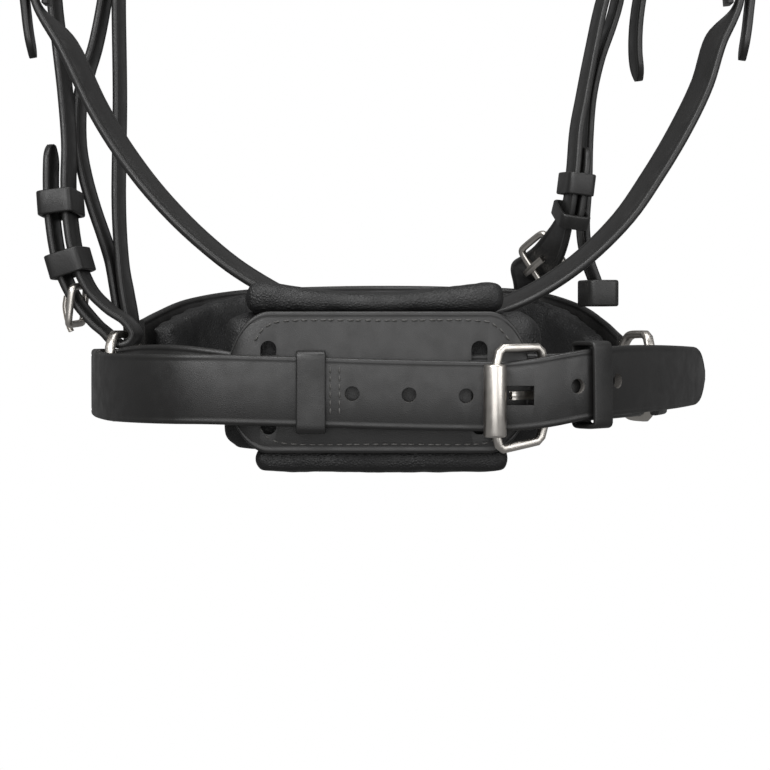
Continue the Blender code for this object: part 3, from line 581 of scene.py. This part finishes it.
def noseband():
    band = [low(x, y, up) for (x, y), up in zip(BAND, BAND_UP)]
    strap("nosepiece", band, UP, BAND_HEIGHT, leather)
    for side, sign, place, ends in (("left", -1, RING_LEFT, (-100.5, -95)), ("right", 1, RING_RIGHT, (96.5, 91.5))):
        ring_x, ring_y = place[0] - sign * 6.9, place[1] + 18.9
        start_x, far_x = ends
        out = (sign * 0.95, 0.31)
        leg = 3.2
        route = [low(far_x + out[0] * leg, 42 + out[1] * leg, RING_UP),
                 low(start_x + out[0] * leg, 27 + out[1] * leg, RING_UP)]
        for degrees in (10, -35, -80, -125, -170):
            t = math.radians(degrees)
            route.append(low(ring_x + sign * 4.8 * math.cos(t), ring_y + 4.8 * math.sin(t), RING_UP))
        route += [low(start_x - out[0] * leg, 27 - out[1] * leg, RING_UP),
                  low(far_x - out[0] * leg, 42 - out[1] * leg, RING_UP)]
        strap("ring_tab_" + side, route, UP, 0.012, leather, thick=0.0018)
    keeper("nosepiece_loop_right", low(89.0, 33.4, 37.0), UP, (1, 0.2, 0), 0.0150, 0.0075, leather,
           long=0.011, wall=0.0026)


# The chin strap runs from the right ring, through the pad, round the left ring and back across the front.
INNER = [(91, -56.5), (98, -40), (101.2, -24), (102.5, -11), (102.5, -5), (103.9, -1.6), (107.3, -0.2),
         (110.7, -1.6), (112.1, -5)]
OUTER_RIGHT = [(40.6, -93.3), (50, -94.1), (59.6, -95.3), (70, -93.4), (80, -86.8), (91.5, -73.5),
               (103.5, -54.5), (115, -32), (124, -11), (128.5, 2)]
OUTER_RIGHT_UP = [-2.6, -2.2, -1.0, 1.0, 2.4, 3.2, 3.4, 3.4, 3.4, 3.4]
HEEL_BAR = (59.6, -89.2)
ROLLER = (40.6, -99.7)
STRAP_HOLES = ((-12.2, -1.6), (8.9, -2.0), (30.1, -2.4), (71.0, 1.2), (86.0, 2.9))
SLOTS = (-43.5, 35.2)


def box_cutter(a, b):
    points = [(x, y, z) for x in (a[0], b[0]) for y in (a[1], b[1]) for z in (a[2], b[2])]
    faces = [(0, 1, 3, 2), (4, 6, 7, 5), (0, 4, 5, 1), (2, 3, 7, 6), (0, 2, 6, 4), (1, 5, 7, 3)]
    return add_object("cutter", mesh_from("cutter", points, faces), leather)


def slot_cutter(x, foot, top, half):
    """A slot with round ends, cut through the pad's facing."""
    outline = []
    for middle, start in ((top - half, 0), (foot + half, 180)):
        for k in range(13):
            t = math.radians(start + 15 * k)
            outline.append((x + half * math.cos(t), middle + half * math.sin(t)))
    points = [low(a, y, b) for y in (-92, -84) for a, b in outline]
    count = len(outline)
    faces = [(k, (k + 1) % count, count + (k + 1) % count, count + k) for k in range(count)]
    faces += [tuple(range(count)), tuple(reversed(range(count, 2 * count)))]
    return add_object("cutter", mesh_from("cutter", points, faces), leather)


def chin_strap(leather):
    route = [low(106.0, -33, 1.2), low(110.4, -18, 1.2)]
    route += [low(x, y, 1.2) for x, y in INNER[::-1]]
    route += [low(84, -66.5, 1.0), low(73, -77.6, 0.6), low(64, -82.3, 0.2), low(52, -83.9, 0),
              low(20, -84.1, 0), low(-20, -84.1, 0), low(-50, -83.9, 0), low(-62, -82.2, 1.5),
              low(-75, -77.3, 3.0), low(-86, -69, 3.4), low(-95, -56, 3.0), low(-102, -38, 2.0),
              low(-105.6, -21, 1.4), low(-106.5, -11, 1.2), low(-106.5, -5, 1.2), low(-107.9, -1.6, 1.2),
              low(-111.3, -0.2, 1.2), low(-114.7, -1.6, 1.2), low(-116.1, -5, 1.2), low(-116.1, -11, 1.2),
              low(-114.9, -22, 0.8), low(-111, -41, 0.4),
              low(-104.2, -60, 0), low(-92.5, -78.5, 0), low(-79.5, -89, 0), low(-66, -92.8, 0),
              low(-50, -93.3, -0.4), low(-27.5, -93.3, -1.0), low(5, -93.3, -2.0)]
    route += [low(x, y, up) for (x, y), up in zip(OUTER_RIGHT, OUTER_RIGHT_UP)]
    count = len(route)
    widths = [CHIN_WIDTH] * (count - 4) + [0.0255, 0.0245, 0.0232, 0.0222]
    made = strap("chin_strap", route, UP, widths, leather, thick=LEATHER, taper_end=0.017)
    for x, up in STRAP_HOLES[:3]:
        cut(made, rod("cutter_hole", low(x, -97, up), low(x, -90, up), 0.0028, raw_edge))
    for (x, up), y, aim in zip(STRAP_HOLES[3:], (-93.0, -80.2), ((0.35, -0.94), (0.73, -0.68))):
        a = low(x + aim[0] * 4, y + aim[1] * 4, up)
        b = low(x - aim[0] * 4, y - aim[1] * 4, up)
        cut(made, rod("cutter_hole", a, b, 0.0028, raw_edge))
    cut(made, box_cutter(low(44.6, -99, -5.8), low(55.2, -88, 1.4)))


def roller_tube():
    """The turned roller: a tube with rounded lips."""
    a, b, radius, bore = -17.6, 9.4, ROLLER_RADIUS, 0.0027
    outline = [(a / 1000, bore), (a / 1000, radius - 0.0008), (a / 1000 + 0.0003, radius - 0.0002),
               (a / 1000 + 0.0009, radius), (b / 1000 - 0.0009, radius), (b / 1000 - 0.0003, radius - 0.0002),
               (b / 1000, radius - 0.0008), (b / 1000, bore)]
    points, faces = [], []
    for up, r in outline:
        for k in range(48):
            t = math.pi * k / 24
            points.append((ROLLER[0] / 1000 + r * math.cos(t), ROLLER[1] / 1000 + r * math.sin(t), NOSE_Z + up))
    for lap in range(8):
        for k in range(48):
            n = (k + 1) % 48
            far = 48 * ((lap + 1) % 8)
            faces.append((48 * lap + k, 48 * lap + n, far + n, far + k))
    obj = add_object("look_chin_roller", mesh_from("roller", points, faces), nickel)
    return stands_for(obj, "chin_buckle_roller")


def chin_buckle(leather, nickel):
    heel, roller = np.array(low(*HEEL_BAR, -1.2)), np.array(low(*ROLLER, -4.2))
    # The chape, folded round the heel bar, with a slot for the tongue.
    outer = [low(x, y, 0.6) for x, y in ((88.5, -73.2), (77.5, -84.4), (69.4, -90.2))]
    inner = [low(x, y, 0.6) for x, y in ((67.8, -87.6), (76.0, -82.4), (86.8, -71.4), (94.5, -59.5))]
    fold = 3.1
    bend = [low(HEEL_BAR[0] + fold * math.cos(math.radians(t)), HEEL_BAR[1] + fold * math.sin(math.radians(t)), 0)
            for t in (-75, -120, -165, -210, -255, -285)]
    chape = strap("buckle_chape", outer + bend + inner, UP, 0.022, leather, thick=0.0014)
    cut(chape, box_cutter(low(50, -99, -4.4), low(65, -80, 2.0)), "MANIFOLD")
    # The frame: a trapezium, longer at the roller, whose two long bars end in the roller's and heel's axes.
    along = (heel - roller)[:2]
    length = float(np.linalg.norm(along))
    top_roller, top_heel, low_heel, low_roller = 13.4 + 1.8, 14.6 + 1.0, -20.2 + 1.4, -24.6 + 2.0
    outline = [(0.0, top_roller), (length * 500, (top_roller + top_heel) / 2), (length * 1000, top_heel),
               (length * 1000, low_heel), (length * 500, (low_heel + low_roller) / 2), (0.0, low_roller)]
    axis = np.array((along[0], along[1], 0)) / length
    across = np.cross(axis, np.array((0.0, 0.0, 1.0)))
    origin = np.array((roller[0], roller[1], NOSE_Z))
    points = [(x / 1000, z / 1000) for x, z in outline]
    closed_loop("chin_buckle_frame", points, origin, (axis, np.array((0.0, 0.0, 1.0)), across), 0.0032, 0.0032,
                nickel)
    roller_tube()
    tongue = [low(56.6, -89.8, -2.2), low(54.0, -90.6, -2.2), low(51.2, -94.0, -2.2), low(48.2, -98.4, -2.2),
              low(46.4, -99.4, -2.2)]
    strap("chin_buckle_tongue", tongue, UP, 0.0032, nickel, thick=0.0022)


def chin_keepers(leather):
    keeper("chin_keeper_fixed", low(-27.5, -93.3, -1.0), (1, 0, 0), (0, -1, 0), CHIN_WIDTH + 0.0006, LEATHER + 0.0004,
           leather, long=0.011, wall=0.0018)
    keeper("chin_keeper_loop", low(77.3, -86.0, 1.6), (0.79, 0.61, 0.02), (0.61, -0.79, 0), CHIN_WIDTH + 0.0024,
           0.0098, leather, long=0.009, wall=0.0018)


def chin_pad_facing():
    facing = [low(-59, -86.6, 2.5), low(-52, -87.6, 2.5), low(-40, -87.8, 2.5), low(0, -87.8, 2.5),
              low(40, -87.8, 2.5), low(49, -87.7, 2.5), low(54.5, -87.2, 2.5)]
    front = strap("chin_pad_facing", facing, UP, 0.053, leather, thick=0.0024, taper_start=0.016,
                  taper_end=0.016)
    for x in SLOTS:
        cut(front, slot_cutter(x, -17, 18, 3))


# Padded pieces, filled like the real ones

def stuffed(node, grain, voxel=0.0035, cap=0.0016, top=0.0, foot=0.0, sag=0.0):
    """A padded piece: the CAD solid's surface blown out a little by cloth pressure, with soft wrinkles.

    top and foot move its upper and lower edge, and sag lowers the middle of the upper edge.
    """
    source = frame["nodes"][node]
    obj = bpy.data.objects.new("look_" + node, source.data.copy())
    bpy.context.scene.collection.objects.link(obj)
    obj.data.materials.clear()
    obj.data.materials.append(soft)
    remesh = obj.modifiers.new("remesh", "REMESH")
    remesh.mode = "VOXEL"
    remesh.voxel_size = voxel
    apply_modifiers(obj)
    rest = np.array([v.co for v in obj.data.vertices])
    cloth = obj.modifiers.new("cloth", "CLOTH")
    cloth.settings.use_pressure = True
    cloth.settings.uniform_pressure_force = 4
    cloth.settings.effector_weights.gravity = 0
    cloth.settings.quality = 4
    cloth.point_cache.frame_start = 1
    cloth.point_cache.frame_end = 20
    for step in range(1, 21):
        bpy.context.scene.frame_set(step)
    apply_modifiers(obj)
    bpy.context.scene.frame_set(1)
    moved = np.array([v.co for v in obj.data.vertices]) - rest
    size = np.linalg.norm(moved, axis=1)
    moved *= np.minimum(1.0, cap / np.maximum(size, 1e-9))[:, None]
    for vertex, place in zip(obj.data.vertices, rest + moved):
        vertex.co = place
    if top or foot or sag:
        places = np.array([v.co for v in obj.data.vertices])
        least, most = places.min(axis=0), places.max(axis=0)
        height = (places[:, 2] - least[2]) / (most[2] - least[2])
        across = 2 * (places[:, 0] - least[0]) / (most[0] - least[0]) - 1
        dip = sag * np.clip(1 - (across / 0.85) ** 2, 0, 1)
        places[:, 2] += height * (top - dip) + (1 - height) * foot
        for vertex, place in zip(obj.data.vertices, places):
            vertex.co = place
    smooth = obj.modifiers.new("smooth", "SMOOTH")
    smooth.factor = 0.5
    smooth.iterations = 4
    round_off = obj.modifiers.new("subdivide", "SUBSURF")
    round_off.levels = round_off.render_levels = 1
    wrinkle = obj.modifiers.new("wrinkle", "DISPLACE")
    texture = bpy.data.textures.new("wrinkle_" + node, "CLOUDS")
    texture.noise_scale = 0.010
    wrinkle.texture = texture
    wrinkle.strength = grain
    wrinkle.mid_level = 0.5
    apply_modifiers(obj)
    obj.data.shade_smooth()
    stands_for(obj, node)
    return obj


def pads():
    stuffed("chin_pad_padding", 0.0012)
    stuffed("chin_pad_top_roll", 0.0010, voxel=0.0022, cap=0.0010, top=0.0004, foot=-0.0020, sag=0.0044)
    stuffed("chin_pad_bottom_flap", 0.0008, voxel=0.0018, cap=0.0006, top=0.0030, foot=-0.0003)
    stuffed("nosepiece_padding", 0.0010, voxel=0.0028, cap=0.0010)
    stuffed("crown_pad", 0.0008, voxel=0.0028, cap=0.0006)


# Stitching

def stitching():
    front, top, foot = -89.35, 25.6, -20.6
    stitch_row("pad_top", [low(-49, front, 17.5), low(-44, front, 23.5), low(-34, front, top), low(0, front, top),
                           low(34, front, top), low(42, front, 23.0), low(47, front, 17.5)], (0, -1, 0))
    stitch_row("pad_bottom", [low(-47, front, -14.0), low(-43, front, -18.5), low(-33, front, foot),
                              low(0, front, foot), low(33, front, foot), low(41, front, -18.5),
                              low(45.5, front, -14)], (0, -1, 0))
    for x in (-20.3, -16.9):
        stitch_row("fixed_keeper_%d" % int(-x), [low(x, -95.15, 8.5), low(x, -95.15, 0), low(x, -95.15, -10.5)],
                   (0, -1, 0), pitch=0.0030)


def main():
    headpiece()
    cheek_straps(leather, nickel)
    throat_straps(leather, nickel)
    inner_straps(leather, nickel)
    side_ring("side_ring_left", RING_LEFT, -1, nickel)
    side_ring("side_ring_right", RING_RIGHT, 1, nickel)
    noseband()
    chin_strap(leather)
    chin_buckle(leather, nickel)
    chin_keepers(leather)
    chin_pad_facing()
    pads()
    stitching()


def area(name, place, aim, size, power):
    light = bpy.data.lights.new(name, "AREA")
    light.shape = "RECTANGLE"
    light.size, light.size_y = size
    light.energy = power
    obj = bpy.data.objects.new(name, light)
    bpy.context.scene.collection.objects.link(obj)
    obj.location = place
    obj.rotation_euler = (Vector(aim) - Vector(place)).to_track_quat("-Z", "Y").to_euler()
    return obj


def studio():
    world = bpy.data.worlds.new("studio")
    bpy.context.scene.world = world
    world.use_nodes = True
    world.node_tree.nodes["Background"].inputs["Color"].default_value = (1, 1, 1, 1)
    tree = world.node_tree
    rays = tree.nodes.new("ShaderNodeLightPath")
    level = tree.nodes.new("ShaderNodeMapRange")
    level.inputs["To Min"].default_value = 0.22
    level.inputs["To Max"].default_value = 1.0
    tree.links.new(rays.outputs["Is Camera Ray"], level.inputs["Value"])
    tree.links.new(level.outputs["Result"], tree.nodes["Background"].inputs["Strength"])
    bpy.context.scene.view_settings.view_transform = "Standard"
    middle = (0, 0, NOSE_Z)
    area("key", (-0.55, -0.9, 0.35), middle, (0.7, 0.7), 10)
    area("fill", (0.9, -0.8, -0.1), middle, (0.8, 0.8), 5)
    area("front", (-0.1, -1.9, -0.1), middle, (1.6, 1.6), 16)
    area("top", (0.1, -0.2, 0.6), middle, (0.9, 0.5), 7)
    camera = bpy.data.cameras.new("camera")
    camera.lens = 126.2
    camera.sensor_width = 36
    view = bpy.data.objects.new("camera", camera)
    bpy.context.scene.collection.objects.link(view)
    view.location = (0, -1.095, NOSE_Z + 0.025)
    view.rotation_euler = (math.radians(90 - 1.337), 0, 0)
    bpy.context.scene.camera = view


main()
studio()
